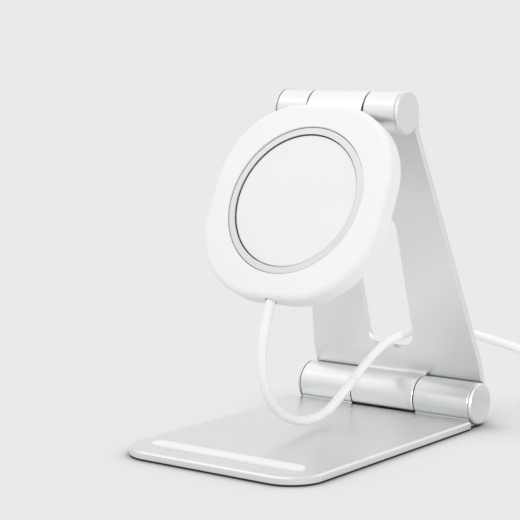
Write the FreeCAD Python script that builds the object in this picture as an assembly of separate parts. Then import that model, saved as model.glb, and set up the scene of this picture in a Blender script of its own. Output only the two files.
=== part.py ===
import FreeCAD, Part
import math
import os

# A folding phone charging stand: a base, an arm and a tilting head with a charging puck.
# X runs along the hinges, Y to the back and Z up. The origin is on the surface that the
# stand rests on, under the middle of its depth and width. All sizes are in millimetres.

Vector = FreeCAD.Vector
X_AXIS = Vector(1, 0, 0)
Y_AXIS = Vector(0, 1, 0)
Z_AXIS = Vector(0, 0, 1)
ORIGIN = Vector(0, 0, 0)
CLOSE = 1e-4                 # places nearer than this are the same

# Base
BASE_WIDTH = 80.0
HINGE_REACH = 117.4          # front edge to the lower hinge axis
PLATE_T = 2.5                # sheet of the base, the arm and the head bracket
BASE_CORNER_R = 13.0
BASE_REAR_CORNER_R = 2.5
BASE_EDGE_CHAMFER = 0.6
PAD_T = 0.7
PAD_INSET = 3.5
STRIP_LENGTH = 65.0
STRIP_WIDTH = 6.4
STRIP_SETBACK = 12.6         # front edge to the middle of the strip
STRIP_RAISE = 0.8
STRIP_SEAT = 0.6
STRIP_EDGE_R = 0.35
STRIP_END_FLAT = 0.1         # straight part at each side of its round ends

# Hinge barrels
BARREL_R = 7.9
BARREL_INSET = 0.5           # side of the base to the outer face of a lower cap
BARREL_EDGE = 0.2            # broken edge at the ends of a knuckle
BARREL_RELIEF = 0.7          # room round the arm's knuckle in the base
ROOT_FILLET = 1.25           # between a knuckle of the arm or the head and its plate
ROOT_LAP = 0.15              # least reach of such a root past the edge of its plate
BASE_ROOT_FILLET = 0.3       # the same fillet on the base
BASE_ROOT_LAP = 0.4          # base plate under the roots of its knuckles
SEAM_W = 0.5                 # between two knuckles
LOWER_MID_HALF = 14.0        # half length of the arm's knuckle in the lower hinge
UPPER_MID_HALF = 12.05       # half length of the head's knuckle in the upper hinge
UPPER_OUTER_END = 25.6       # outer end of the arm's knuckles in the upper hinge
PLATE_GAP = 0.1              # edge of a plate past the top of the barrel that it faces

# Hinge hardware
PIN_R = 3.0
RUNNING_CLEARANCE = 0.04
AXIAL_PLAY = 0.1
BUSH_WALL = 1.2
BUSH_FLANGE_INSET = 0.6      # flange below the surface of the barrel
COUNTERBORE_R = 5.6
PIN_HEAD_CLEARANCE = 1.0     # in the counterbore
PIN_HEAD_T = 2.0
PIN_END = 0.5                # pin past the nut
PIN_END_ROOM = 0.5           # between the pin and the cap's spigot
SPRING_CLEARANCE = 0.7       # in the counterbore
SPRING_BORE_CLEARANCE = 0.1
SPRING_T = 0.5
SPRING_RISE = 0.35
NUT_CLEARANCE = 0.98         # corners of the nut in the counterbore
NUT_T = 2.6
CAP_T = 1.4
CAP_CHAMFER = 0.55
CAP_GROOVE_W = 0.32
CAP_GROOVE_DEPTH = 0.5
CAP_SPIGOT = 2.2

# Arm
ARM_LENGTH = 114.8           # between the two hinge axes
ARM_LEAN = 16.8              # degrees, forward
ARM_SIDE_GAP = 0.2           # side of the arm to the end of its barrel
ARM_LOWER_EDGE = 4.2         # above the lower axis
ARM_RELIEF = 0.95            # hollow of the lower edge round the barrel
ARM_RELIEF_FORWARD = 0.75    # middle of that hollow from the barrel's, so that it closes to the back
ARM_RELIEF_UP = 0.4
ARM_FOOT = 9.9               # straight sides above the lower edge, before the taper
ARM_SHOULDER = 0.8           # straight sides below the upper edge
ARM_WAIST_R = 40.0
ARM_CORNER_R = 1.2
ARM_EDGE_CHAMFER = 0.35
WINDOW_WIDTH = 20.2
WINDOW_BOTTOM = 17.0         # above the lower axis
WINDOW_HEIGHT = 56.0
WINDOW_R = 6.8

# Head
HEAD_LEAN = 26.3             # degrees, foot of the head forward
HOLDER_TOP_DROP = 4.1        # upper axis down the head to the top of the holder
HOLDER_RIM = 9.02            # round the pocket, where it is narrowest
HOLDER_CORNER_R = 30.0
HOLDER_T = 7.9
HOLDER_FRONT_R = 2.2         # rolled front edge
HOLDER_BACK_R = 0.6
BRACKET_NECK = 3.2           # between the bracket's shoulders and the edge of its root
BRACKET_NECK_R = 2.0
BRACKET_CORNER_R = 12.0
SCREW_WALL = 5.2             # pocket of the puck to the middle of a screw
SCREW_EDGE = 6.5             # middle of a screw to the edges of the bracket
SCREW_R = 1.25
SCREW_HEAD_R = 2.4
SCREW_HEAD_T = 1.2
SCREW_LENGTH = 6.5
SCREW_CLEARANCE = 0.15
SCREW_SOCKET_R = 0.9
SCREW_SOCKET_DEPTH = 0.7

# Charging puck
PUCK_R = 27.95
PUCK_T = 5.3
PUCK_FIT = 0.15
PUCK_SINK = 0.5              # puck below the front of the holder
PUCK_EDGE_R = 0.35
POCKET_EDGE = 0.2
HOUSING_RIM = 2.6
HOUSING_FLOOR = 0.8
FACE_GAP = 0.4
FACE_SINK = 0.5              # face below the rim of the housing
FACE_T = 0.8
FACE_EDGE = 0.15
BOARD_R = 11.5
BOARD_T = 1.2
SHIELD_GAP = 0.6             # inside the ring of magnets
SHIELD_T = 1.0
COIL_MARGIN = 0.4            # of the shield round the coil
COIL_INNER_R = 9.5
MAGNET_CLEARANCE = 0.45      # inside the housing
MAGNET_W = 3.5
MAGNET_COUNT = 18            # places round the ring; the one at the cord stays empty
MAGNET_GAP_DEG = 1.6

# Cord
CORD_R = 1.75
RELIEF_ROOM = 0.1            # above and below the grommet inside the puck
RELIEF_STEP = 0.6            # grommet outside the puck, wider than its core
RELIEF_WALL = 0.15           # round the cord at its tip
RELIEF_LAP = 0.8             # grommet's inner end past the inside of the magnets
RELIEF_BARREL = 3.0          # straight part outside the puck
RELIEF_TAPER = 3.0
CORD_HOLE_CLEARANCE = 0.15   # of the holder's hole round the grommet
CORD_LEAD = 8.0              # cord straight on from the tip of the grommet
CORD_SPLIT = 0.48            # share of the run through the window that the loop takes
CORD_SPLIT_GAP = 0.05        # between the two lengths of cord
RUN_SHARE = 0.45             # of the shorter run, taken up by each end of an arc
TIE_T = 0.6
TIE_WIDTH = 10.0
COIL_X = 92.0
COIL_Y = 79.0
COIL_TURN_R = 18.5           # middle of the turns
COIL_TURNS_WIDE = 3
COIL_TURNS_HIGH = 2
COIL_ROUND_R = 1.6
TIE_ANGLE = 215.0

# Route of the cord below the grommet: down, over the base, up through the window
LOOP_POINTS = [
    (0.0, -29.9, 37.9), (0.0, -29.4, 24.8), (0.0, -22.2, 14.6), (0.0, -8.9, 7.6), (0.0, 8.0, 6.6),
    (0.0, 23.7, 14.9), (0.0, 39.5, 24.6), (0.0, 54.0, 29.6),
]
# Route behind the arm: to the right, down to the surface and into the coil
RUN_POINTS = [
    (1.4, 75.4, 31.4), (8.9, 86.2, 30.3), (22.0, 91.2, 26.7), (36.5, 95.0, 22.8),
    (50.0, 98.0, 14.4), (62.5, 99.8, 6.0), (75.0, 100.7, 2.6), (86.0, 101.0, 2.35),
]
# Route from the coil to the plug
TAIL_POINTS = [(114.0, 78.5, 5.85), (114.2, 70.5, 5.5), (112.2, 61.0, 3.9), (111.0, 53.0, 3.2)]

# Plug
PLUG_WIDTH = 11.5
PLUG_T = 6.4
PLUG_LENGTH = 19.0
PLUG_ROUND_R = 2.4
SHELL_WIDTH = 8.34
SHELL_T = 2.56
SHELL_LENGTH = 6.65
SHELL_WALL = 0.3
SHELL_SIDE_FLAT = 0.05       # straight part of its round sides
TONGUE_WIDTH = 6.7
TONGUE_T = 0.7
TONGUE_SETBACK = 0.9

# Worked out from the sizes above
HINGE_Y = (HINGE_REACH - BARREL_R) / 2
HINGE_Z = PAD_T + BARREL_R
FRONT_Y = HINGE_Y - HINGE_REACH
BASE_TOP = PAD_T + PLATE_T
LOWER_OUTER_END = BASE_WIDTH / 2 - BARREL_INSET - CAP_T
PLATE_EDGE = BARREL_R + PLATE_GAP
ROOT_REACH = PLATE_EDGE + ROOT_LAP
PLATE_INNER = BARREL_R - PLATE_T
BUSH_R = PIN_R + RUNNING_CLEARANCE + BUSH_WALL
BUSH_FLANGE_R = BARREL_R - BUSH_FLANGE_INSET
SPRINGS_T = 2 * (SPRING_T + SPRING_RISE)
HINGE_POCKET = AXIAL_PLAY + SPRINGS_T + NUT_T + PIN_END + PIN_END_ROOM + CAP_SPIGOT
POCKET_R = PUCK_R + PUCK_FIT
HOLDER_HALF = POCKET_R + HOLDER_RIM
HOLDER_FRONT = BARREL_R + HOLDER_T
PUCK_DROP = HOLDER_TOP_DROP + HOLDER_HALF
SCREW_OFFSET = (POCKET_R + SCREW_WALL) / math.sqrt(2)
BRACKET_HALF = SCREW_OFFSET + SCREW_EDGE
BRACKET_TOP = -PLATE_EDGE - BRACKET_NECK
PUCK_FACE = HOLDER_FRONT - PUCK_SINK
PUCK_BACK = PUCK_FACE - PUCK_T
HOUSING_BORE_R = PUCK_R - HOUSING_RIM
FACE_R = HOUSING_BORE_R - FACE_GAP
FACE_FRONT = PUCK_FACE - FACE_SINK
PUCK_FLOOR = PUCK_BACK + HOUSING_FLOOR
UNDER_FACE = FACE_FRONT - FACE_T
BOARD_TOP = PUCK_FLOOR + BOARD_T
SHIELD_TOP = BOARD_TOP + SHIELD_T
MAGNET_OUTER_R = HOUSING_BORE_R - MAGNET_CLEARANCE
MAGNET_INNER_R = MAGNET_OUTER_R - MAGNET_W
SHIELD_R = MAGNET_INNER_R - SHIELD_GAP
COIL_OUTER_R = SHIELD_R - COIL_MARGIN
CORD_DEPTH = (PUCK_FLOOR + UNDER_FACE) / 2
RELIEF_CORE_R = (UNDER_FACE - PUCK_FLOOR) / 2 - RELIEF_ROOM
RELIEF_R = RELIEF_CORE_R + RELIEF_STEP
RELIEF_TIP_R = CORD_R + RELIEF_WALL
RELIEF_INNER = MAGNET_INNER_R + RELIEF_LAP
RELIEF_END = PUCK_R + RELIEF_BARREL + RELIEF_TAPER
CORD_HOLE_R = RELIEF_R + CORD_HOLE_CLEARANCE


# Tools

def root_length(fillet_r):
    """Hinge axis to where the fillet of a knuckle's root runs out on its plate."""
    return math.sqrt((BARREL_R + fillet_r) ** 2 - (PLATE_INNER - fillet_r) ** 2)


def outline_face(corners, origin, along, up):
    """Flat face from (a, b, radius) corners, in the plane that along and up span at origin."""
    flat = [Vector(a, b, 0) for a, b, radius in corners]
    arcs = []
    for index, (a, b, radius) in enumerate(corners):
        here = flat[index]
        to_before = (flat[index - 1] - here).normalize()
        to_after = (flat[(index + 1) % len(flat)] - here).normalize()
        half = to_before.getAngle(to_after) / 2
        reach = radius / math.tan(half)
        depth = radius / math.sin(half) - radius
        bisector = (to_before + to_after).normalize()
        arcs.append((here + to_before * reach, here + bisector * depth, here + to_after * reach))
    placed = [[origin + along * p.x + up * p.y for p in arc] for arc in arcs]
    edges = []
    for index, (start, middle, end) in enumerate(placed):
        if corners[index][2] > 0:
            edges.append(Part.Arc(start, middle, end).toShape())
        following = placed[(index + 1) % len(placed)][0]
        if end.distanceToPoint(following) > CLOSE:
            edges.append(Part.LineSegment(end, following).toShape())
    return Part.Face(Part.Wire(edges))


def rectangle_corners(half_width, low, high, radius):
    """Corners of a rectangle about the plane's upright middle line."""
    return [(-half_width, low, radius), (half_width, low, radius),
            (half_width, high, radius), (-half_width, high, radius)]


def x_cylinder(radius, start, end):
    """Cylinder about the X axis."""
    return Part.makeCylinder(radius, end - start, Vector(start, 0, 0), X_AXIS)


def turned(profile):
    """Solid turned about the X axis from (x, radius) points."""
    points = [Vector(x, radius, 0) for x, radius in profile]
    face = Part.Face(Part.makePolygon(points + points[:1]))
    return face.revolve(ORIGIN, X_AXIS, 360)


def mirrored(shape):
    """The same shape on the other side of the middle plane."""
    return shape.mirror(ORIGIN, X_AXIS)


def pair(shape):
    """A right hand shape and its left hand twin."""
    return Part.makeCompound([shape, mirrored(shape)])


def edges_in_plane(shape, axis, level):
    """Edges that lie in the plane at this level of an axis, given as 'y' or 'z'."""
    low, high = axis.upper() + "Min", axis.upper() + "Max"
    found = []
    for edge in shape.Edges:
        box = edge.BoundBox
        if abs(getattr(box, low) - level) < CLOSE and abs(getattr(box, high) - level) < CLOSE:
            found.append(edge)
    return found


# Placing

def place_lower(shape):
    """From the lower hinge's own frame to the stand."""
    return shape.translated(Vector(0, HINGE_Y, HINGE_Z))


def place_arm(shape):
    """From the upright arm's frame, with the lower axis at its origin, to the stand."""
    return place_lower(shape.rotated(ORIGIN, X_AXIS, ARM_LEAN))


def upper_axis_point():
    """Middle of the upper hinge axis on the stand."""
    lean = math.radians(ARM_LEAN)
    return Vector(0, HINGE_Y - ARM_LENGTH * math.sin(lean), HINGE_Z + ARM_LENGTH * math.cos(lean))


def place_head(shape):
    """From the upright head's frame, with the upper axis at its origin, to the stand."""
    return shape.rotated(ORIGIN, X_AXIS, -HEAD_LEAN).translated(upper_axis_point())


def head_point(point):
    """The same for a single point."""
    return FreeCAD.Rotation(X_AXIS, -HEAD_LEAN).multVec(point) + upper_axis_point()


# Hinges

def knuckle(start, end):
    """Round knuckle with broken edges."""
    return turned([(start, 0), (start, BARREL_R - BARREL_EDGE), (start + BARREL_EDGE, BARREL_R),
                   (end - BARREL_EDGE, BARREL_R), (end, BARREL_R - BARREL_EDGE), (end, 0)])


def knuckle_root(start, end, along, out, fillet_r, reach=0):
    """Where a plate that runs along, tangent to the barrel on its out side, grows from a knuckle.
    Past its fillet it goes straight on as far as reach, if the fillet ends before."""
    tip = along * root_length(fillet_r)
    far = along * max(root_length(fillet_r), reach)
    centre = tip + out * (PLATE_INNER - fillet_r)
    on_plate = tip + out * PLATE_INNER
    on_barrel = centre * (BARREL_R / (BARREL_R + fillet_r))
    towards = ((on_plate - centre).normalize() + (on_barrel - centre).normalize()).normalize()
    fillet = Part.Arc(on_plate, centre + towards * fillet_r, on_barrel).toShape()
    points = [on_barrel, ORIGIN, out * BARREL_R, far + out * BARREL_R, far + out * PLATE_INNER]
    if far.distanceToPoint(tip) > CLOSE:
        points.append(on_plate)
    sides = [Part.LineSegment(a, b).toShape() for a, b in zip(points, points[1:])]
    face = Part.Face(Part.Wire(Part.__sortEdges__(sides + [fillet])))
    return face.translated(X_AXIS * start).extrude(X_AXIS * (end - start))


def bush_end(outer_end):
    """Where the bushes end and the counterbores begin: the rest is room for springs, nut and cap."""
    return outer_end - HINGE_POCKET


def outer_knuckles(mid_half, outer_end, along, out, fillet_r, reach=0):
    """Two outer knuckles with the roots of their plate, before boring."""
    start = mid_half + SEAM_W
    root = knuckle_root(start, outer_end, along, out, fillet_r, reach)
    return pair(knuckle(start, outer_end).fuse(root))


def outer_bores(mid_half, outer_end):
    """What is bored out of the outer knuckles for bushes, pin and caps."""
    bush_bore = x_cylinder(BUSH_R, mid_half + SEAM_W, bush_end(outer_end))
    counterbore = x_cylinder(COUNTERBORE_R, bush_end(outer_end), outer_end)
    return pair(bush_bore.fuse(counterbore))


def hinge_bushes(mid_half, outer_end):
    """Flanged bushes; the flange fills the seam between two knuckles."""
    inner = PIN_R + RUNNING_CLEARANCE
    face = mid_half + AXIAL_PLAY
    seat = mid_half + SEAM_W
    end = bush_end(outer_end)
    return pair(turned([(face, inner), (face, BUSH_FLANGE_R), (seat, BUSH_FLANGE_R),
                        (seat, BUSH_R), (end, BUSH_R), (end, inner)]))


def hinge_pin(outer_end):
    """Headed pin through all the knuckles."""
    head = -bush_end(outer_end) - AXIAL_PLAY
    head_r = COUNTERBORE_R - PIN_HEAD_CLEARANCE
    end = bush_end(outer_end) + AXIAL_PLAY + SPRINGS_T + NUT_T + PIN_END
    return turned([(head - PIN_HEAD_T, 0), (head - PIN_HEAD_T, head_r), (head, head_r),
                   (head, PIN_R), (end, PIN_R), (end, 0)])


def hinge_springs(outer_end):
    """Two disc springs, set against each other."""
    start = bush_end(outer_end) + AXIAL_PLAY
    bore = PIN_R + SPRING_BORE_CLEARANCE
    edge = COUNTERBORE_R - SPRING_CLEARANCE
    rise = start + SPRING_RISE
    first = turned([(rise, bore), (start, edge), (start + SPRING_T, edge), (rise + SPRING_T, bore)])
    meet = rise + SPRING_T
    top = meet + SPRING_RISE
    second = turned([(meet, bore), (top, edge), (top + SPRING_T, edge), (meet + SPRING_T, bore)])
    return Part.makeCompound([first, second])


def hinge_nut(outer_end):
    """Six-sided nut on the end of the pin."""
    nut = bush_end(outer_end) + AXIAL_PLAY + SPRINGS_T
    corner_r = COUNTERBORE_R - NUT_CLEARANCE
    angles = [math.radians(60 * side) for side in range(6)]
    points = [Vector(nut, corner_r * math.cos(a), corner_r * math.sin(a)) for a in angles]
    hexagon = Part.Face(Part.makePolygon(points + points[:1]))
    return hexagon.extrude(X_AXIS * NUT_T).cut(x_cylinder(PIN_R, nut, nut + NUT_T))


def hinge_cap(outer_end):
    """Right hand end cap, with a spigot, a fine groove at the seam and a chamfered rim."""
    groove_r = BARREL_R - CAP_GROOVE_DEPTH
    rim = outer_end + CAP_T
    return turned([(outer_end - CAP_SPIGOT, 0), (outer_end - CAP_SPIGOT, COUNTERBORE_R),
                   (outer_end, COUNTERBORE_R), (outer_end, groove_r), (outer_end + CAP_GROOVE_W, groove_r),
                   (outer_end + CAP_GROOVE_W, BARREL_R), (rim - CAP_CHAMFER, BARREL_R),
                   (rim, BARREL_R - CAP_CHAMFER), (rim, 0)])


# Base

def strip_face(level):
    """Outline of the white strip at this height."""
    half_width = STRIP_WIDTH / 2
    corners = rectangle_corners(STRIP_LENGTH / 2, -half_width, half_width, half_width - STRIP_END_FLAT)
    return outline_face(corners, Vector(0, FRONT_Y + STRIP_SETBACK, level), X_AXIS, Y_AXIS)


def make_base_plate():
    """Plate with rounded front corners, a hollow for the arm's knuckle and the two outer knuckles."""
    half = BASE_WIDTH / 2
    rear = HINGE_Y - root_length(BASE_ROOT_FILLET) + BASE_ROOT_LAP
    corners = [(-half, FRONT_Y, BASE_CORNER_R), (half, FRONT_Y, BASE_CORNER_R),
               (half, rear, BASE_REAR_CORNER_R), (-half, rear, BASE_REAR_CORNER_R)]
    plate = outline_face(corners, Vector(0, 0, PAD_T), X_AXIS, Y_AXIS).extrude(Z_AXIS * PLATE_T)
    top_edges = edges_in_plane(plate, "z", BASE_TOP)
    rim = [edge for edge in top_edges if edge.CenterOfMass.y < rear - CLOSE]
    plate = plate.makeChamfer(BASE_EDGE_CHAMFER, rim)
    lip_half = LOWER_MID_HALF + SEAM_W
    lip = Part.makeBox(2 * lip_half, HINGE_Y - rear, PLATE_T, Vector(-lip_half, rear, PAD_T))
    outer = outer_knuckles(LOWER_MID_HALF, LOWER_OUTER_END, -Y_AXIS, -Z_AXIS, BASE_ROOT_FILLET)
    hollow = x_cylinder(BARREL_R + BARREL_RELIEF, -lip_half, lip_half)
    solid = plate.fuse(lip).cut(place_lower(hollow)).fuse(place_lower(outer))
    bores = outer_bores(LOWER_MID_HALF, LOWER_OUTER_END)
    seat = strip_face(BASE_TOP - STRIP_SEAT).extrude(Z_AXIS * STRIP_SEAT)
    return solid.cut([place_lower(bores), seat]).removeSplitter()


def make_base_pad():
    """Thin pad under the plate, set in from its edges and ending before the knuckles."""
    half = BASE_WIDTH / 2 - PAD_INSET
    radius = BASE_CORNER_R - PAD_INSET
    rear = HINGE_Y - root_length(BASE_ROOT_FILLET) - PAD_INSET
    corners = rectangle_corners(half, FRONT_Y + PAD_INSET, rear, radius)
    return outline_face(corners, ORIGIN, X_AXIS, Y_AXIS).extrude(Z_AXIS * PAD_T)


def make_base_strip():
    """Silicone strip, seated in the plate and standing a little proud."""
    strip = strip_face(BASE_TOP - STRIP_SEAT).extrude(Z_AXIS * (STRIP_SEAT + STRIP_RAISE))
    return strip.makeFillet(STRIP_EDGE_R, edges_in_plane(strip, "z", BASE_TOP + STRIP_RAISE))


# Arm

def make_arm_plate():
    """Tapered plate with a window, the lower middle knuckle and the upper outer knuckles."""
    foot = LOWER_OUTER_END - ARM_SIDE_GAP
    shoulder = UPPER_OUTER_END - ARM_SIDE_GAP
    top = ARM_LENGTH - PLATE_EDGE
    right = [(foot, ARM_LOWER_EDGE, ARM_CORNER_R), (foot, ARM_LOWER_EDGE + ARM_FOOT, ARM_WAIST_R),
             (shoulder, top - ARM_SHOULDER, 0), (shoulder, top, 0)]
    left = [(-a, b, radius) for a, b, radius in reversed(right)]
    front = Vector(0, PLATE_INNER, 0)
    plate = outline_face(right + left, front, X_AXIS, Z_AXIS).extrude(Y_AXIS * PLATE_T)
    window = rectangle_corners(WINDOW_WIDTH / 2, WINDOW_BOTTOM, WINDOW_BOTTOM + WINDOW_HEIGHT, WINDOW_R)
    plate = plate.cut(outline_face(window, front, X_AXIS, Z_AXIS).extrude(Y_AXIS * PLATE_T))
    rims = edges_in_plane(plate, "y", PLATE_INNER) + edges_in_plane(plate, "y", BARREL_R)
    plate = plate.makeChamfer(ARM_EDGE_CHAMFER, rims)
    hollow = x_cylinder(BARREL_R + ARM_RELIEF, -foot, foot)
    plate = plate.cut(hollow.translated(Vector(0, -ARM_RELIEF_FORWARD, ARM_RELIEF_UP)))
    middle = knuckle(-LOWER_MID_HALF, LOWER_MID_HALF)
    root = knuckle_root(-LOWER_MID_HALF, LOWER_MID_HALF, Z_AXIS, Y_AXIS, ROOT_FILLET, ROOT_REACH)
    middle = middle.fuse(root)
    upper = outer_knuckles(UPPER_MID_HALF, UPPER_OUTER_END, -Z_AXIS, Y_AXIS, ROOT_FILLET, ROOT_REACH)
    solid = plate.fuse([middle, upper.translated(Z_AXIS * ARM_LENGTH)])
    pin_bore = x_cylinder(PIN_R, -LOWER_MID_HALF, LOWER_MID_HALF)
    bores = outer_bores(UPPER_MID_HALF, UPPER_OUTER_END)
    return solid.cut([pin_bore, bores.translated(Z_AXIS * ARM_LENGTH)]).removeSplitter()


# Head

def puck_disc(radius, back, front):
    """Disc on the puck's axis, between two depths in front of the upper hinge axis."""
    return Part.makeCylinder(radius, front - back, Vector(0, -front, -PUCK_DROP), Y_AXIS)


def screw_places():
    """Middles of the four bracket screws on the head, as (x, z)."""
    heights = (BRACKET_TOP - SCREW_EDGE, -PUCK_DROP - SCREW_OFFSET)
    return [(side * SCREW_OFFSET, z) for side in (-1, 1) for z in heights]


def screw_blank(clearance):
    """One countersunk screw about the X axis, its head at the back of the bracket."""
    head = SCREW_HEAD_R + clearance
    shank = SCREW_R + clearance
    return turned([(0, 0), (0, head), (SCREW_HEAD_T, shank), (SCREW_LENGTH, shank), (SCREW_LENGTH, 0)])


def place_screw(shape, place):
    """From the screw's own axis to its place on the head, pointing forward."""
    x, z = place
    return shape.rotated(ORIGIN, Z_AXIS, -90).translated(Vector(x, -PLATE_INNER, z))


def make_head_bracket():
    """Plate behind the holder, with the head's knuckle and countersunk screw holes."""
    bottom = -BRACKET_HALF - PUCK_DROP
    right = [(BRACKET_HALF, bottom, BRACKET_CORNER_R), (BRACKET_HALF, BRACKET_TOP, BRACKET_CORNER_R),
             (UPPER_MID_HALF, BRACKET_TOP, BRACKET_NECK_R), (UPPER_MID_HALF, -PLATE_EDGE, 0)]
    left = [(-a, b, radius) for a, b, radius in reversed(right)]
    plate = outline_face(right + left, Vector(0, -BARREL_R, 0), X_AXIS, Z_AXIS).extrude(Y_AXIS * PLATE_T)
    middle = knuckle(-UPPER_MID_HALF, UPPER_MID_HALF)
    root = knuckle_root(-UPPER_MID_HALF, UPPER_MID_HALF, -Z_AXIS, -Y_AXIS, ROOT_FILLET, ROOT_REACH)
    middle = middle.fuse(root)
    holes = [place_screw(screw_blank(SCREW_CLEARANCE), place) for place in screw_places()]
    pin_bore = x_cylinder(PIN_R, -UPPER_MID_HALF, UPPER_MID_HALF)
    return plate.fuse(middle).cut(holes + [pin_bore]).removeSplitter()


def make_bracket_screws():
    """Four countersunk screws with hexagon sockets."""
    angles = [math.radians(60 * side) for side in range(6)]
    points = [Vector(0, SCREW_SOCKET_R * math.cos(a), SCREW_SOCKET_R * math.sin(a)) for a in angles]
    socket = Part.Face(Part.makePolygon(points + points[:1])).extrude(X_AXIS * SCREW_SOCKET_DEPTH)
    screw = screw_blank(0).cut(socket)
    return Part.makeCompound([place_screw(screw, place) for place in screw_places()])


def make_charger_holder():
    """Rounded square with rolled edges, a pocket for the puck and a hole for the cord."""
    top = -HOLDER_TOP_DROP
    corners = rectangle_corners(HOLDER_HALF, top - 2 * HOLDER_HALF, top, HOLDER_CORNER_R)
    body = outline_face(corners, Vector(0, -BARREL_R, 0), X_AXIS, Z_AXIS).extrude(Y_AXIS * -HOLDER_T)
    body = body.makeFillet(HOLDER_FRONT_R, edges_in_plane(body, "y", -HOLDER_FRONT))
    body = body.makeFillet(HOLDER_BACK_R, edges_in_plane(body, "y", -BARREL_R))
    pocket = puck_disc(POCKET_R, PUCK_BACK, HOLDER_FRONT)
    mouth_place = Vector(0, -HOLDER_FRONT, -PUCK_DROP)
    mouth = Part.makeCone(POCKET_R + POCKET_EDGE, POCKET_R, POCKET_EDGE, mouth_place, Y_AXIS)
    hole = Part.makeCylinder(CORD_HOLE_R, HOLDER_HALF, Vector(0, -CORD_DEPTH, -PUCK_DROP), -Z_AXIS)
    pilots = [place_screw(x_cylinder(SCREW_R, 0, SCREW_LENGTH), place) for place in screw_places()]
    return body.cut([pocket, mouth, hole] + pilots).removeSplitter()


def make_charger_housing():
    """Metal cup of the puck, open to the front."""
    cup = puck_disc(PUCK_R, PUCK_BACK, PUCK_FACE)
    rims = edges_in_plane(cup, "y", -PUCK_FACE) + edges_in_plane(cup, "y", -PUCK_BACK)
    cup = cup.makeFillet(PUCK_EDGE_R, rims)
    cup = cup.cut(puck_disc(HOUSING_BORE_R, PUCK_FLOOR, PUCK_FACE))
    hole = Part.makeCylinder(RELIEF_CORE_R, PUCK_R, Vector(0, -CORD_DEPTH, -PUCK_DROP), -Z_AXIS)
    return cup.cut(hole)


def make_charger_face():
    """White face of the puck."""
    face = puck_disc(FACE_R, UNDER_FACE, FACE_FRONT)
    return face.makeChamfer(FACE_EDGE, edges_in_plane(face, "y", -FACE_FRONT))


def make_charger_magnets():
    """Ring of magnets with a gap for the cord at the bottom."""
    pitch = 360.0 / MAGNET_COUNT
    ring = puck_disc(MAGNET_OUTER_R, PUCK_FLOOR, UNDER_FACE)
    ring = ring.cut(puck_disc(MAGNET_INNER_R, PUCK_FLOOR, UNDER_FACE))
    spread = math.radians((pitch - MAGNET_GAP_DEG) / 2)
    reach = 2 * MAGNET_OUTER_R
    side = reach * math.tan(spread)
    wedge_points = [ORIGIN, Vector(-side, 0, -reach), Vector(side, 0, -reach), ORIGIN]
    wedge = Part.Face(Part.makePolygon(wedge_points)).extrude(Y_AXIS * -PUCK_FACE)
    middle = Vector(0, 0, -PUCK_DROP)
    magnet = ring.common(wedge.translated(middle))
    turns = [pitch * place for place in range(1, MAGNET_COUNT)]
    return Part.makeCompound([magnet.rotated(middle, Y_AXIS, turn) for turn in turns])


def make_charge_coil():
    """Flat winding, as one ring."""
    winding = puck_disc(COIL_OUTER_R, SHIELD_TOP, UNDER_FACE)
    return winding.cut(puck_disc(COIL_INNER_R, SHIELD_TOP, UNDER_FACE))


def make_cord_relief():
    """Grommet in the wall of the puck, tapering to the cord."""
    taper = PUCK_R + RELIEF_BARREL
    profile = [(RELIEF_INNER, 0), (RELIEF_INNER, RELIEF_CORE_R), (POCKET_R, RELIEF_CORE_R),
               (POCKET_R, RELIEF_R), (taper, RELIEF_R), (RELIEF_END, RELIEF_TIP_R), (RELIEF_END, 0)]
    return turned(profile).rotated(ORIGIN, Y_AXIS, 90).translated(Vector(0, -CORD_DEPTH, -PUCK_DROP))


# Cord

def split_point(gap):
    """Where the loop ends behind the window, or this far past it."""
    inside = Vector(*LOOP_POINTS[-1])
    behind = Vector(*RUN_POINTS[0])
    reach = CORD_SPLIT * inside.distanceToPoint(behind) + gap
    return inside + (behind - inside).normalize() * reach


def loop_route():
    """Points of the loop, from the tip of the grommet to just behind the window."""
    tip = Vector(0, -CORD_DEPTH, -PUCK_DROP - RELIEF_END)
    lead = [head_point(tip), head_point(tip - Z_AXIS * CORD_LEAD)]
    return lead + LOOP_POINTS + [split_point(0)]


def run_route():
    """Points of the cord behind the arm, from the end of the loop to the coil."""
    return [split_point(CORD_SPLIT_GAP)] + RUN_POINTS


def route_wire(points):
    """Straight runs joined by arcs as large as the runs allow; also gives the arcs' radii."""
    route = [Vector(*point) for point in points]
    edges = []
    radii = []
    last = route[0]
    for before, here, after in zip(route, route[1:], route[2:]):
        to_before = before - here
        to_after = after - here
        reach = RUN_SHARE * min(to_before.Length, to_after.Length)
        to_before.normalize()
        to_after.normalize()
        half = to_before.getAngle(to_after) / 2
        radius = reach * math.tan(half)
        start = here + to_before * reach
        end = here + to_after * reach
        middle = here + (to_before + to_after).normalize() * (radius / math.sin(half) - radius)
        edges.append(Part.LineSegment(last, start).toShape())
        edges.append(Part.Arc(start, middle, end).toShape())
        radii.append(round(radius, 1))
        last = end
    edges.append(Part.LineSegment(last, route[-1]).toShape())
    return Part.Wire(edges), radii


def make_cord(name, points):
    """Round cord along a route; prints its radii and how its volume compares with its length."""
    wire, radii = route_wire(points)
    start = Vector(*points[0])
    direction = Vector(*points[1]) - start
    section = Part.Wire(Part.makeCircle(CORD_R, start, direction))
    tube = wire.makePipeShell([section], True, False)
    share = tube.Volume / (math.pi * CORD_R ** 2 * wire.Length)
    print(name, "radii", radii, "length", round(wire.Length, 1), "volume share", round(share, 4))
    return tube


def coil_section_face(inset):
    """Section of the coil in the XZ plane, smaller by inset on every side."""
    half = COIL_TURNS_WIDE * CORD_R - inset
    low = TIE_T + inset
    high = TIE_T + 2 * COIL_TURNS_HIGH * CORD_R - inset
    corners = rectangle_corners(half, low, high, COIL_ROUND_R)
    return outline_face(corners, X_AXIS * COIL_TURN_R, X_AXIS, Z_AXIS)


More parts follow.
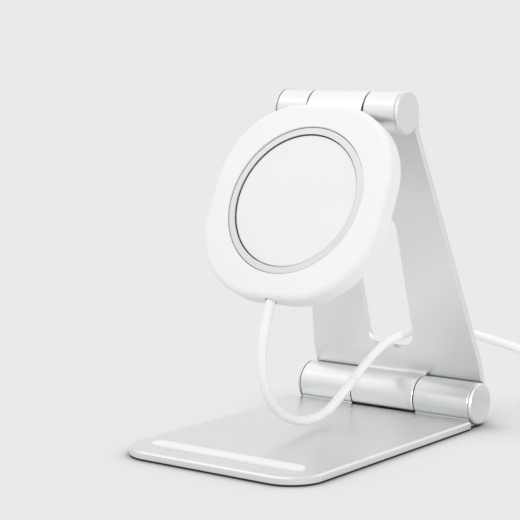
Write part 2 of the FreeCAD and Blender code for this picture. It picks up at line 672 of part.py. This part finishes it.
def make_cord_coil():
    """The wound length, as one ring of its outer shape."""
    ring = coil_section_face(0).revolve(ORIGIN, Z_AXIS, 360)
    return ring.translated(Vector(COIL_X, COIL_Y, 0))


def make_cord_tie():
    """Flat band round the turns of the coil."""
    outer = coil_section_face(-TIE_T).extrude(Y_AXIS * TIE_WIDTH).translated(Y_AXIS * (-TIE_WIDTH / 2))
    ring = coil_section_face(0).revolve(ORIGIN, Z_AXIS, 360)
    band = outer.cut(ring)
    return band.rotated(ORIGIN, Z_AXIS, TIE_ANGLE).translated(Vector(COIL_X, COIL_Y, 0))


def plug_prism(width, thickness, radius, start, end):
    """Rounded bar that points to the front, between two distances from the end of the cord."""
    x, y, z = TAIL_POINTS[-1]
    middle = Vector(x, y - start, PLUG_T / 2)
    corners = rectangle_corners(width / 2, -thickness / 2, thickness / 2, radius)
    return outline_face(corners, middle, X_AXIS, Z_AXIS).extrude(Y_AXIS * (start - end))


def make_plug_body():
    """Moulded grip of the plug."""
    body = plug_prism(PLUG_WIDTH, PLUG_T, PLUG_ROUND_R, 0, PLUG_LENGTH)
    ends = edges_in_plane(body, "y", TAIL_POINTS[-1][1])
    return body.makeFillet(PLUG_ROUND_R / 2, ends)


def make_plug_shell():
    """Metal shell of the plug, open at its front."""
    end = PLUG_LENGTH + SHELL_LENGTH
    radius = SHELL_T / 2 - SHELL_SIDE_FLAT
    outer = plug_prism(SHELL_WIDTH, SHELL_T, radius, PLUG_LENGTH, end)
    width = SHELL_WIDTH - 2 * SHELL_WALL
    thickness = SHELL_T - 2 * SHELL_WALL
    inner = plug_prism(width, thickness, radius - SHELL_WALL, PLUG_LENGTH + SHELL_WALL, end)
    return outer.cut(inner)


def make_plug_tongue():
    """Contact tongue on the back wall of the shell."""
    start = PLUG_LENGTH + SHELL_WALL
    end = PLUG_LENGTH + SHELL_LENGTH - TONGUE_SETBACK
    return plug_prism(TONGUE_WIDTH, TONGUE_T, 0, start, end)


def hinge_parts(name, mid_half, outer_end, place_fixed, place_turning):
    """Hardware of one hinge: what stays with the outer knuckles and what turns with the middle one."""
    cap = hinge_cap(outer_end)
    return {
        name + "_hinge_bushes": place_fixed(hinge_bushes(mid_half, outer_end)),
        name + "_cap_left": place_fixed(mirrored(cap)),
        name + "_cap_right": place_fixed(cap),
        name + "_hinge_pin": place_turning(hinge_pin(outer_end)),
        name + "_hinge_springs": place_turning(hinge_springs(outer_end)),
        name + "_hinge_nut": place_turning(hinge_nut(outer_end)),
    }


def place_upper_on_arm(shape):
    """From the upper hinge's own frame to the arm of the stand."""
    return place_arm(shape.translated(Z_AXIS * ARM_LENGTH))


def all_parts():
    """Every node of the stand, by name."""
    parts = {
        "base_plate": make_base_plate(),
        "base_pad": make_base_pad(),
        "base_top_strip": make_base_strip(),
        "arm_plate": place_arm(make_arm_plate()),
        "head_bracket": place_head(make_head_bracket()),
        "bracket_screws": place_head(make_bracket_screws()),
        "charger_holder": place_head(make_charger_holder()),
        "charger_housing": place_head(make_charger_housing()),
        "charger_face": place_head(make_charger_face()),
        "charger_magnets": place_head(make_charger_magnets()),
        "charge_coil": place_head(make_charge_coil()),
        "ferrite_shield": place_head(puck_disc(SHIELD_R, BOARD_TOP, SHIELD_TOP)),
        "charger_board": place_head(puck_disc(BOARD_R, PUCK_FLOOR, BOARD_TOP)),
        "cord_relief": place_head(make_cord_relief()),
        "cord_loop": make_cord("cord_loop", loop_route()),
        "cord_run": make_cord("cord_run", run_route()),
        "cord_tail": make_cord("cord_tail", TAIL_POINTS),
        "cord_coil": make_cord_coil(),
        "cord_tie": make_cord_tie(),
        "plug_body": make_plug_body(),
        "plug_shell": make_plug_shell(),
        "plug_tongue": make_plug_tongue(),
    }
    parts.update(hinge_parts("lower", LOWER_MID_HALF, LOWER_OUTER_END, place_lower, place_arm))
    parts.update(hinge_parts("upper", UPPER_MID_HALF, UPPER_OUTER_END, place_upper_on_arm, place_head))
    return parts


os.makedirs("parts", exist_ok=True)
for node, shape in all_parts().items():
    shape.exportStep(os.path.join("parts", node + ".step"))
    print(node, "solids", len(shape.Solids), "valid", shape.isValid(), "volume", round(shape.Volume, 1))
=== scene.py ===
import math

import bpy
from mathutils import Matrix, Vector


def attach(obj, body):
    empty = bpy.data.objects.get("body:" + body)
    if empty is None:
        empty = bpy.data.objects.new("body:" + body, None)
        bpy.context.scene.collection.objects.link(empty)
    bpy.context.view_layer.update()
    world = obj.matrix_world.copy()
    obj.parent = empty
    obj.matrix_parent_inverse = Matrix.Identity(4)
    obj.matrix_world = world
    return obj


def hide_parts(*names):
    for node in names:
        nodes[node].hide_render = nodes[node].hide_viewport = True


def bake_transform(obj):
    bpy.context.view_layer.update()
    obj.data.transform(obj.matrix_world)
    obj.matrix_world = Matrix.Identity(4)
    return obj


# A folding phone charging stand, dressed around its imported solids. All lengths are in metres.

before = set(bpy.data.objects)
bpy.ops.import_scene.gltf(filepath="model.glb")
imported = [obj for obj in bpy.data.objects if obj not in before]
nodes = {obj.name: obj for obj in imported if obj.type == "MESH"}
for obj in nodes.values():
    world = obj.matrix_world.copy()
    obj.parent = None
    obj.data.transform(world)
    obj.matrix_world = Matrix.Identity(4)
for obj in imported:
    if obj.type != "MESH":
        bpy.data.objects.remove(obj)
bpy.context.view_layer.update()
scene = bpy.context.scene

# Camera
CAMERA_PLACE = Vector((0.3549, -0.50425, 0.1437))
CAMERA_TARGET = Vector((-0.02216, -0.00119, 0.06418))
CAMERA_LENS = 119.42

# Stage and light
BACKDROP_LEVEL = 0.823
FLOOR_BOUNCE = 0.82
FLOOR_REACH = 12.0
FLOOR_DROP = 0.00005
AMBIENT_LEVEL = 0.82
# Contact shadow on the floor: its reach and level, and how open the floor is where it is deepest and ends
SHADOW_REACH = 0.03
SHADOW_LEVEL = 0.03
SHADOW_DEEPEST = 0.3
SHADOW_END = 0.97
SHADOW_SAMPLES = 16

# Painted shade in the metal's creases: its reach, and how open a crease is where the painted shade is darkest
# and where it ends
CREASE_SHADE_REACH = 0.003
CREASE_SHADE_DEEPEST = 0.05
CREASE_SHADE_END = 0.45
CREASE_SHADE_SAMPLES = 8

# Noise of a surface's fine grain
GRAIN_DETAIL = 2.0
GRAIN_ROUGHNESS = 0.6

# Kinds of math node
WHOLE = "FunctionNodeIntegerMath"
REAL = "ShaderNodeMath"
VECTOR = "ShaderNodeVectorMath"

# Cord, with the same route as its solids
CORD_R = 0.00175
TUBE_SIDES = 20
TUBE_STEPS = 8
SPLINE_ORDER = 3
LOOP_POINTS = [
    (0.0, -0.02285, 0.0566), (0.0, -0.0264, 0.04943), (0.0, -0.0299, 0.0379), (0.0, -0.0294, 0.0248),
    (0.0, -0.0222, 0.0146), (0.0, -0.0089, 0.0076), (0.0, 0.008, 0.0066), (0.0, 0.0237, 0.0149),
    (0.0, 0.0395, 0.0246), (0.0, 0.054, 0.0296),
]
RUN_POINTS = [
    (0.0014, 0.0754, 0.0314), (0.0089, 0.0862, 0.0303), (0.022, 0.0912, 0.0267), (0.0365, 0.095, 0.0228),
    (0.05, 0.098, 0.0144), (0.0625, 0.0998, 0.006), (0.075, 0.1007, 0.0026), (0.086, 0.101, 0.00235),
]
TAIL_POINTS = [(0.1142, 0.0705, 0.0055), (0.1122, 0.061, 0.0039), (0.111, 0.053, 0.0032)]
COIL_CENTRE = (0.092, 0.079)
COIL_RADII = (0.022, 0.0185, 0.015, 0.015, 0.0185, 0.022)
COIL_LEVELS = (0.00235, 0.00235, 0.00235, 0.00585, 0.00585, 0.00585)
COIL_STEPS = 16
COIL_SHIFT_STEPS = 3
# Where the cord is parted into lengths
CORD_CUTS = [
    (0.0, -0.0293, 0.0268), (0.0, -0.002, 0.0064), (0.0006, 0.0645, 0.0305), (0.075, 0.1007, 0.0026),
]


# Node materials

def add_node(tree, kind, **values):
    """A new node; values name its properties, or its inputs by name with underscores for blanks."""
    node = tree.nodes.new(kind)
    for key, value in values.items():
        socket = node.inputs.get(key.replace("_", " "))
        if socket is not None:
            socket.default_value = value
        else:
            setattr(node, key, value)
    return node


def grey(level):
    """An opaque grey."""
    return (level, level, level, 1.0)


def principled(name, **values):
    """A material with one Principled shader; gives the material, its tree and that shader."""
    material = bpy.data.materials.new(name)
    material.use_nodes = True
    shader = material.node_tree.nodes["Principled BSDF"]
    for key, value in values.items():
        shader.inputs[key.replace("_", " ")].default_value = value
    return material, material.node_tree, shader


def object_coords(tree, stretch=(1.0, 1.0, 1.0)):
    """Coordinates fixed to the piece, stretched along its axes."""
    coords = add_node(tree, "ShaderNodeTexCoord")
    mapping = add_node(tree, "ShaderNodeMapping", Scale=stretch)
    tree.links.new(coords.outputs["Object"], mapping.inputs["Vector"])
    return mapping.outputs["Vector"]


def noise(tree, vector, scale, detail=3.0, roughness=0.55):
    """Values of a noise texture."""
    node = add_node(tree, "ShaderNodeTexNoise", Scale=scale, Detail=detail, Roughness=roughness)
    tree.links.new(vector, node.inputs["Vector"])
    return node.outputs["Fac"]


def ramp(tree, value, low, high, start=0.3, end=0.7):
    """Colours from low to high as a value goes from start to end."""
    node = add_node(tree, "ShaderNodeValToRGB")
    node.color_ramp.elements[0].position = start
    node.color_ramp.elements[0].color = low
    node.color_ramp.elements[1].position = end
    node.color_ramp.elements[1].color = high
    tree.links.new(value, node.inputs["Fac"])
    return node.outputs["Color"]


def spread(tree, value, low, high, start=0.3, end=0.7):
    """Numbers from low to high as a value goes from start to end."""
    node = add_node(tree, "ShaderNodeMapRange", From_Min=start, From_Max=end, To_Min=low, To_Max=high)
    tree.links.new(value, node.inputs["Value"])
    return node.outputs["Result"]


def bump(tree, shader, height, strength, distance):
    """Bumps the shader's surface by a height."""
    node = add_node(tree, "ShaderNodeBump", Strength=strength, Distance=distance)
    tree.links.new(height, node.inputs["Height"])
    tree.links.new(node.outputs["Normal"], shader.inputs["Normal"])


def paint_crease_shade(tree, colour, level):
    """Painted shade: the same colour, down to a share of its level where other surfaces stand close by."""
    shade = add_node(tree, "ShaderNodeAmbientOcclusion", Distance=CREASE_SHADE_REACH, samples=CREASE_SHADE_SAMPLES)
    share = ramp(tree, shade.outputs["AO"], grey(level), grey(1.0), CREASE_SHADE_DEEPEST, CREASE_SHADE_END)
    mix = add_node(tree, "ShaderNodeMix", data_type="RGBA", blend_type="MULTIPLY")
    mix.inputs["Factor"].default_value = 1.0
    tree.links.new(colour, mix.inputs["A"])
    tree.links.new(share, mix.inputs["B"])
    return mix.outputs["Result"]


def surface(name, colours, rough, cloud, grain, strength, depth, stretch=(1, 1, 1), crease_shade=None, **values):
    """A material with a clouded colour, a fine grain that varies its roughness, and painted shade in its
    creases if asked.
    colours and rough are low and high; cloud and grain are scales; strength and depth make the bump."""
    material, tree, shader = principled(name, **values)
    vector = object_coords(tree, stretch)
    colour = ramp(tree, noise(tree, vector, cloud), *colours)
    fine = noise(tree, vector, grain, GRAIN_DETAIL, GRAIN_ROUGHNESS)
    # Painted shade darkens the colour in creases when a share is given
    if crease_shade is not None:
        colour = paint_crease_shade(tree, colour, crease_shade)
    tree.links.new(colour, shader.inputs["Base Color"])
    tree.links.new(spread(tree, fine, *rough), shader.inputs["Roughness"])
    bump(tree, shader, fine, strength, depth)
    return material


def dress(names, material):
    """Gives CAD nodes a material."""
    for name in names:
        mesh = nodes[name].data
        mesh.materials.clear()
        mesh.materials.append(material)


# The satin aluminium gets painted shade in its creases, down to 0.35 of its colour
satin_aluminium = surface(
    "satin_aluminium", colours=((0.812, 0.82, 0.824, 1), (0.832, 0.84, 0.844, 1)), rough=(0.28, 0.38),
    cloud=45.0, grain=5200.0, strength=0.16, depth=0.00003, crease_shade=0.35, Metallic=0.95)
puck_aluminium = surface(
    "puck_aluminium", colours=(grey(0.68), grey(0.71)), rough=(0.34, 0.42),
    cloud=60.0, grain=6500.0, strength=0.1, depth=0.00002, Metallic=1.0)
white_holder = surface(
    "white_holder", colours=(grey(0.87), grey(0.885)), rough=(0.5, 0.6),
    cloud=70.0, grain=3800.0, strength=0.12, depth=0.00004)
white_face = surface(
    "white_face", colours=(grey(0.84), grey(0.855)), rough=(0.48, 0.56),
    cloud=80.0, grain=4200.0, strength=0.1, depth=0.00003)
white_silicone = surface(
    "white_silicone", colours=(grey(0.925), grey(0.94)), rough=(0.55, 0.65),
    cloud=90.0, grain=3000.0, strength=0.15, depth=0.00005)
grey_pad = surface(
    "grey_pad", colours=(grey(0.07), grey(0.1)), rough=(0.75, 0.9),
    cloud=120.0, grain=1800.0, strength=0.4, depth=0.0001)
dark_bush = surface(
    "dark_bush", colours=(grey(0.05), grey(0.07)), rough=(0.5, 0.65),
    cloud=200.0, grain=3000.0, strength=0.2, depth=0.00005)
steel = surface(
    "steel", colours=(grey(0.52), grey(0.6)), rough=(0.22, 0.4),
    cloud=150.0, grain=2600.0, strength=0.2, depth=0.00002, stretch=(0.05, 1, 1), Metallic=1.0)
magnet_steel = surface(
    "magnet_steel", colours=(grey(0.48), grey(0.56)), rough=(0.25, 0.35),
    cloud=200.0, grain=3500.0, strength=0.1, depth=0.00002, Metallic=1.0)
copper = surface(
    "copper", colours=((0.55, 0.22, 0.1, 1), (0.68, 0.3, 0.15, 1)), rough=(0.25, 0.4),
    cloud=300.0, grain=2500.0, strength=0.3, depth=0.0001, Metallic=1.0)
ferrite = surface(
    "ferrite", colours=(grey(0.015), grey(0.03)), rough=(0.5, 0.7),
    cloud=200.0, grain=2500.0, strength=0.3, depth=0.00005)
board = surface(
    "board", colours=((0.006, 0.07, 0.025, 1), (0.01, 0.12, 0.045, 1)), rough=(0.3, 0.45),
    cloud=350.0, grain=1500.0, strength=0.2, depth=0.00005)
white_cord = surface(
    "white_cord", colours=(grey(0.93), grey(0.945)), rough=(0.34, 0.44),
    cloud=110.0, grain=3200.0, strength=0.14, depth=0.00004)
tie_band = surface(
    "tie_band", colours=(grey(0.66), grey(0.76)), rough=(0.7, 0.85),
    cloud=400.0, grain=2200.0, strength=0.5, depth=0.0002, stretch=(1, 1, 0.15))
white_plug = surface(
    "white_plug", colours=(grey(0.86), grey(0.88)), rough=(0.36, 0.46),
    cloud=120.0, grain=3600.0, strength=0.1, depth=0.00003)
black_plastic = surface(
    "black_plastic", colours=(grey(0.008), grey(0.015)), rough=(0.4, 0.55),
    cloud=300.0, grain=3000.0, strength=0.2, depth=0.00004)

dress(["base_plate", "arm_plate", "head_bracket"], satin_aluminium)
dress(["lower_cap_left", "lower_cap_right", "upper_cap_left", "upper_cap_right"], satin_aluminium)
dress(["charger_housing"], puck_aluminium)
dress(["charger_holder"], white_holder)
dress(["charger_face"], white_face)
dress(["base_top_strip"], white_silicone)
dress(["base_pad"], grey_pad)
dress(["lower_hinge_bushes", "upper_hinge_bushes"], dark_bush)
dress(["lower_hinge_pin", "lower_hinge_springs", "lower_hinge_nut"], steel)
dress(["upper_hinge_pin", "upper_hinge_springs", "upper_hinge_nut"], steel)
dress(["bracket_screws", "plug_shell"], steel)
dress(["charger_magnets"], magnet_steel)
dress(["charge_coil"], copper)
dress(["ferrite_shield"], ferrite)
dress(["charger_board"], board)
dress(["cord_relief", "cord_loop", "cord_run", "cord_coil", "cord_tail"], white_cord)
dress(["cord_tie"], tie_band)
dress(["plug_body"], white_plug)
dress(["plug_tongue"], black_plastic)


# Cord

def coil_points():
    """Turns of the coil and a quarter, clockwise from its far side: inwards below, then outwards above."""
    points = []
    turns = len(COIL_RADII)
    quarter = COIL_STEPS // 4
    for step in range(turns * COIL_STEPS + quarter):
        turn = min(step // COIL_STEPS, turns - 1)
        left = COIL_STEPS - step % COIL_STEPS
        following = min(turn + 1, turns - 1)
        share = max(0.0, 1.0 - left / COIL_SHIFT_STEPS) if step < turns * COIL_STEPS else 0.0
        radius = COIL_RADII[turn] + (COIL_RADII[following] - COIL_RADII[turn]) * share
        level = COIL_LEVELS[turn] + (COIL_LEVELS[following] - COIL_LEVELS[turn]) * share
        angle = math.pi / 2 - 2 * math.pi * step / COIL_STEPS
        x = COIL_CENTRE[0] + radius * math.cos(angle)
        y = COIL_CENTRE[1] + radius * math.sin(angle)
        points.append((x, y, level))
    return points


def smooth_line(points):
    """Points along the NURBS spline that has these control points."""
    curve = bpy.data.curves.new("cord_route", "CURVE")
    curve.dimensions = "3D"
    curve.resolution_u = TUBE_STEPS
    spline = curve.splines.new("NURBS")
    spline.points.add(len(points) - 1)
    for place, point in zip(spline.points, points):
        place.co = (*point, 1.0)
    spline.order_u = SPLINE_ORDER
    spline.use_endpoint_u = True
    route = bpy.data.objects.new("cord_route", curve)
    mesh = bpy.data.meshes.new_from_object(route)
    line = [vertex.co.copy() for vertex in mesh.vertices]
    bpy.data.meshes.remove(mesh)
    bpy.data.objects.remove(route)
    bpy.data.curves.remove(curve)
    return line


def ring_frames(line):
    """Two directions across the line at each of its points, carried along without twist."""
    tangents = []
    for index in range(len(line)):
        before = line[max(index - 1, 0)]
        after = line[min(index + 1, len(line) - 1)]
        tangents.append((after - before).normalized())
    side = Vector((1.0, 0.0, 0.0))
    side = (side - tangents[0] * side.dot(tangents[0])).normalized()
    frames = []
    for index, tangent in enumerate(tangents):
        if index:
            side = tangents[index - 1].rotation_difference(tangent) @ side
        frames.append((side.copy(), tangent.cross(side)))
    return frames


def tube(name, line, frames):
    """A round tube along the line, closed at both ends."""
    vertices = []
    for place, (side, up) in zip(line, frames):
        for corner in range(TUBE_SIDES):
            angle = 2 * math.pi * corner / TUBE_SIDES
            vertices.append(place + (side * math.cos(angle) + up * math.sin(angle)) * CORD_R)
    faces = []
    for ring in range(len(line) - 1):
        for corner in range(TUBE_SIDES):
            following = (corner + 1) % TUBE_SIDES
            low = ring * TUBE_SIDES
            high = low + TUBE_SIDES
            faces.append((low + corner, low + following, high + following, high + corner))
    faces.append(tuple(reversed(range(TUBE_SIDES))))
    last = (len(line) - 1) * TUBE_SIDES
    faces.append(tuple(range(last, last + TUBE_SIDES)))
    mesh = bpy.data.meshes.new(name)
    mesh.from_pydata(vertices, [], faces)
    mesh.update()
    for polygon in mesh.polygons:
        polygon.use_smooth = len(polygon.vertices) == 4
    for edge in mesh.edges:
        low, high = sorted(edge.vertices)
        ring = low // TUBE_SIDES
        edge.use_edge_sharp = ring == high // TUBE_SIDES and ring in (0, len(line) - 1)
    mesh.materials.append(white_cord)
    piece = bpy.data.objects.new(name, mesh)
    scene.collection.objects.link(piece)
    return piece


def reckon(tree, kind, operation, *values):
    """Result of a math node on fields or plain numbers."""
    node = add_node(tree, kind, operation=operation)
    for socket, value in zip(node.inputs, values):
        if isinstance(value, bpy.types.NodeSocket):
            tree.links.new(value, socket)
        else:
            socket.default_value = value
    return node.outputs[0]


def field_at(tree, field, index):
    """A vector field's value at the point with this index."""
    node = add_node(tree, "GeometryNodeFieldAtIndex", data_type="FLOAT_VECTOR")
    tree.links.new(field, node.inputs["Value"])
    tree.links.new(index, node.inputs["Index"])
    return node.outputs["Value"]


def keep_round(piece, rings):
    """Sets each ring of a tube square to its line again, so that it stays round where a pose bends it."""
    tree = bpy.data.node_groups.new(piece.name + "_round", "GeometryNodeTree")
    tree.interface.new_socket("Geometry", in_out="INPUT", socket_type="NodeSocketGeometry")
    tree.interface.new_socket("Geometry", in_out="OUTPUT", socket_type="NodeSocketGeometry")
    start = add_node(tree, "NodeGroupInput")
    end = add_node(tree, "NodeGroupOutput")
    place = add_node(tree, "GeometryNodeInputPosition").outputs["Position"]
    index = add_node(tree, "GeometryNodeInputIndex").outputs["Index"]

    # Middle of each ring, and the line's direction there
    ring = reckon(tree, WHOLE, "DIVIDE_FLOOR", index, TUBE_SIDES)
    total = add_node(tree, "GeometryNodeAccumulateField", data_type="FLOAT_VECTOR")
    tree.links.new(place, total.inputs["Value"])
    tree.links.new(ring, total.inputs["Group ID"])
    share = 1 / TUBE_SIDES
    middle = reckon(tree, VECTOR, "MULTIPLY", total.outputs["Total"], (share, share, share))
    before = reckon(tree, WHOLE, "MAXIMUM", reckon(tree, WHOLE, "SUBTRACT", ring, 1), 0)
    after = reckon(tree, WHOLE, "MINIMUM", reckon(tree, WHOLE, "ADD", ring, 1), rings - 1)
    behind = field_at(tree, middle, reckon(tree, WHOLE, "MULTIPLY", before, TUBE_SIDES))
    ahead = field_at(tree, middle, reckon(tree, WHOLE, "MULTIPLY", after, TUBE_SIDES))
    along = reckon(tree, VECTOR, "NORMALIZE", reckon(tree, VECTOR, "SUBTRACT", ahead, behind))

    # Two directions across it, the first towards the ring's first corner
    corner = field_at(tree, place, reckon(tree, WHOLE, "MULTIPLY", ring, TUBE_SIDES))
    offset = reckon(tree, VECTOR, "SUBTRACT", corner, middle)
    square = reckon(tree, VECTOR, "CROSS_PRODUCT", offset, along)
    side = reckon(tree, VECTOR, "NORMALIZE", reckon(tree, VECTOR, "CROSS_PRODUCT", along, square))
    up = reckon(tree, VECTOR, "CROSS_PRODUCT", along, side)

    # Corner's place on the round ring
    corner_number = reckon(tree, WHOLE, "MODULO", index, TUBE_SIDES)
    turn = reckon(tree, REAL, "MULTIPLY", corner_number, 2 * math.pi / TUBE_SIDES)
    result = middle
    for direction, part in ((side, "COSINE"), (up, "SINE")):
        reach = reckon(tree, REAL, "MULTIPLY", reckon(tree, REAL, part, turn), CORD_R)
        result = reckon(tree, VECTOR, "ADD", result, reckon(tree, VECTOR, "MULTIPLY", direction, reach))

    # Both end rings stay, because the next length meets them
    inner = reckon(tree, WHOLE, "MINIMUM", ring, reckon(tree, WHOLE, "SUBTRACT", rings - 1, ring))
    shift = add_node(tree, "GeometryNodeSetPosition")
    tree.links.new(inner, shift.inputs["Selection"])
    tree.links.new(start.outputs["Geometry"], shift.inputs["Geometry"])
    tree.links.new(result, shift.inputs["Position"])
    tree.links.new(shift.outputs["Geometry"], end.inputs["Geometry"])
    piece.modifiers.new("keep_round", "NODES").node_group = tree


cord_line = smooth_line(LOOP_POINTS + RUN_POINTS + coil_points() + TAIL_POINTS)
cord_frames = ring_frames(cord_line)
cuts = [0]
for place in CORD_CUTS:
    cuts.append(min(range(len(cord_line)), key=lambda index: (cord_line[index] - Vector(place)).length))
cuts.append(len(cord_line) - 1)
cord_names = ["cord_upper", "cord_front", "cord_rise", "cord_behind", "cord_rest"]
cord_lines = []
cord_pieces = []
for name, first, last in zip(cord_names, cuts, cuts[1:]):
    cord_lines.append(cord_line[first:last + 1])
    cord_pieces.append(tube(name, cord_lines[-1], cord_frames[first:last + 1]))

cord_upper, cord_front, cord_rise, cord_behind, cord_rest = cord_pieces
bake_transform(cord_upper)
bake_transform(cord_front)
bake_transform(cord_rise)
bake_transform(cord_behind)
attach(cord_rest, "base")
for piece, line in zip(cord_pieces[:-1], cord_lines):
    keep_round(piece, len(line))
for piece in (cord_upper, cord_front, cord_rise):
    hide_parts("cord_loop")
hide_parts("cord_run")
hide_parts("cord_run", "cord_coil", "cord_tail")
for index, piece in enumerate(cord_pieces):
    last = piece is cord_rest


# Stage

def seen_share(tree):
    """One for rays from the camera and for those that mirror or pass on the view, else nought."""
    path = add_node(tree, "ShaderNodeLightPath")
    share = path.outputs["Is Camera Ray"]
    for kind in ("Is Glossy Ray", "Is Transmission Ray"):
        either = add_node(tree, "ShaderNodeMath", operation="MAXIMUM")
        tree.links.new(share, either.inputs[0])
        tree.links.new(path.outputs[kind], either.inputs[1])
        share = either.outputs["Value"]
    return share


def make_floor():
    """A pale floor that keeps the contact shadow of what stands on it."""
    mesh = bpy.data.meshes.new("floor")
    corners = [(-FLOOR_REACH, -FLOOR_REACH), (FLOOR_REACH, -FLOOR_REACH),
               (FLOOR_REACH, FLOOR_REACH), (-FLOOR_REACH, FLOOR_REACH)]
    mesh.from_pydata([(x, y, -FLOOR_DROP) for x, y in corners], [], [(0, 1, 2, 3)])
    material = bpy.data.materials.new("floor")
    material.use_nodes = True
    tree = material.node_tree
    tree.nodes.clear()
    output = add_node(tree, "ShaderNodeOutputMaterial")
    mix = add_node(tree, "ShaderNodeMixShader")
    plain = add_node(tree, "ShaderNodeBsdfDiffuse", Color=grey(FLOOR_BOUNCE))
    seen = add_node(tree, "ShaderNodeEmission", Strength=1.0)
    shade = add_node(tree, "ShaderNodeAmbientOcclusion", Distance=SHADOW_REACH, samples=SHADOW_SAMPLES)
    dark = grey(SHADOW_LEVEL)
    light = grey(BACKDROP_LEVEL)
    shadow = ramp(tree, shade.outputs["AO"], dark, light, SHADOW_DEEPEST, SHADOW_END)
    tree.links.new(shadow, seen.inputs["Color"])
    tree.links.new(seen_share(tree), mix.inputs["Fac"])
    tree.links.new(plain.outputs["BSDF"], mix.inputs[1])
    tree.links.new(seen.outputs["Emission"], mix.inputs[2])
    tree.links.new(mix.outputs["Shader"], output.inputs["Surface"])
    mesh.materials.append(material)
    floor = bpy.data.objects.new("floor", mesh)
    scene.collection.objects.link(floor)


def make_world():
    """Even light from all round, and the backdrop's level where it is seen."""
    world = bpy.data.worlds.new("studio")
    scene.world = world
    world.use_nodes = True
    tree = world.node_tree
    tree.nodes.clear()
    output = add_node(tree, "ShaderNodeOutputWorld")
    mix = add_node(tree, "ShaderNodeMixShader")
    light = add_node(tree, "ShaderNodeBackground", Color=grey(1.0), Strength=AMBIENT_LEVEL)
    seen = add_node(tree, "ShaderNodeBackground", Color=grey(BACKDROP_LEVEL), Strength=1.0)
    tree.links.new(seen_share(tree), mix.inputs["Fac"])
    tree.links.new(light.outputs["Background"], mix.inputs[1])
    tree.links.new(seen.outputs["Background"], mix.inputs[2])
    tree.links.new(mix.outputs["Shader"], output.inputs["Surface"])


def add_lamp(light, place, target):
    """Hangs a light at a place, aimed at its target and hidden from the camera."""
    lamp = bpy.data.objects.new(light.name, light)
    lamp.location = place
    lamp.rotation_euler = (Vector(target) - Vector(place)).to_track_quat("-Z", "Y").to_euler()
    lamp.visible_camera = False
    scene.collection.objects.link(lamp)


def add_softbox(name, place, target, width, height, level):
    """A rectangular soft light; level is how bright its face looks."""
    light = bpy.data.lights.new(name, "AREA")
    light.shape = "RECTANGLE"
    light.size = width
    light.size_y = height
    light.energy = level * math.pi * width * height
    add_lamp(light, place, target)


def add_spot(name, place, target, cone, radius, level):
    """A round light whose beam fades to its edge; level is what it adds to a white card at its target."""
    light = bpy.data.lights.new(name, "SPOT")
    reach = (Vector(target) - Vector(place)).length
    light.energy = level * 4 * math.pi ** 2 * reach ** 2
    light.spot_size = math.radians(cone)
    light.spot_blend = 1.0
    light.shadow_soft_size = radius
    add_lamp(light, place, target)


def make_camera():
    """The photograph's view."""
    data = bpy.data.cameras.new("camera")
    data.lens = CAMERA_LENS
    camera = bpy.data.objects.new("camera", data)
    camera.location = CAMERA_PLACE
    camera.rotation_euler = (CAMERA_TARGET - CAMERA_PLACE).to_track_quat("-Z", "Y").to_euler()
    scene.collection.objects.link(camera)
    scene.camera = camera


make_floor()
make_world()
add_softbox("top_panel", place=(-0.35, 0.0, 0.9), target=(-0.1, 0.0, 0.07), width=1.4, height=1.2, level=0.31)
add_softbox("back_panel", place=(0.1, 1.05, 0.95), target=(0.0, 0.0, 0.07), width=1.9, height=0.7, level=0.3)
add_softbox("front_panel", place=(-0.7, -0.75, 0.6), target=(0.0, 0.0, 0.09),
            width=0.8, height=0.8, level=0.24)
add_softbox("right_panel", place=(0.9, -0.4, 0.45), target=(0.0, 0.03, 0.05),
            width=1.6, height=1.2, level=0.34)
add_spot("cord_spot", place=(0.8, -0.45, 0.22), target=(0.006, 0.06, 0.01), cone=6.8, radius=0.06, level=0.44)
add_spot("head_spot", place=(-0.1, -0.6, 0.95), target=(0.0, 0.0, 0.23), cone=17.0, radius=0.12, level=0.24)
make_camera()
scene.view_settings.view_transform = "Standard"
